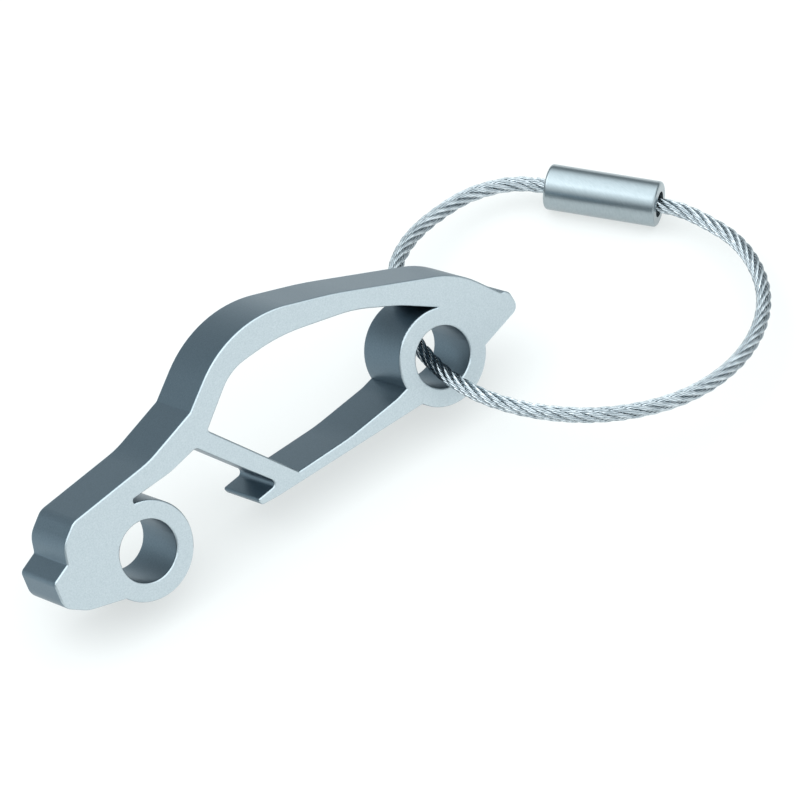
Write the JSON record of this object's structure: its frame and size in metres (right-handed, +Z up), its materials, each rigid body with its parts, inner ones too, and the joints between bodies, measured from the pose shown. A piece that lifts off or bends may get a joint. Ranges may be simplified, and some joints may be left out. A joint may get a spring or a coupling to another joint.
{
  "type": "key ring with bottle opener",
  "caption": "Key ring: a flat metal bottle opener cut to a sports car's outline, hung by its rear wheel on a wire-rope loop with a screw clasp.",
  "frame": {"origin": "on the table, under the middle of the car body's box as it leans on its wheel rims", "axes": "+X from the car's nose to its tail, +Z up, +Y towards the far face, the way the car leans back"},
  "size_m": [0.1052, 0.0513, 0.0259],
  "materials": {
    "satin_chrome": "satin pearl chrome on a zinc casting",
    "rope_steel": "bright drawn stainless wire",
    "sleeve_steel": "fine satin, turned",
    "terminal_steel": "plain turned steel"
  },
  "bodies": {
    "car": {"car_body": "satin_chrome"},
    "loop": {"rope": "rope_steel", "threaded_plug": "terminal_steel"},
    "collar": {"stop_collar": "terminal_steel"},
    "sleeve": {"screw_sleeve": "sleeve_steel"}
  },
  "joints": [
    {"name": "loop_swing", "type": "hinge", "parent": "car", "child": "loop", "pos_m": [0.02397, -0.0028, 0.00767], "axis": [0, -0.8829, 0.4695], "range_deg": [-140, 140]},
    {"name": "clasp_draw", "type": "slide", "parent": "loop", "child": "collar", "axis": [-0.5547, 0.8321, 0], "range_m": [0, 0.0015]},
    {"name": "clasp_turn", "type": "hinge", "parent": "collar", "child": "sleeve", "pos_m": [0.0569, 0.0123, 0.003], "axis": [-0.5547, 0.8321, 0], "range_deg": [0, 1080]}
  ],
  "couplings": [
    {"joint": "clasp_turn", "follows": "clasp_draw", "rad_per_m": 12566}
  ]
}
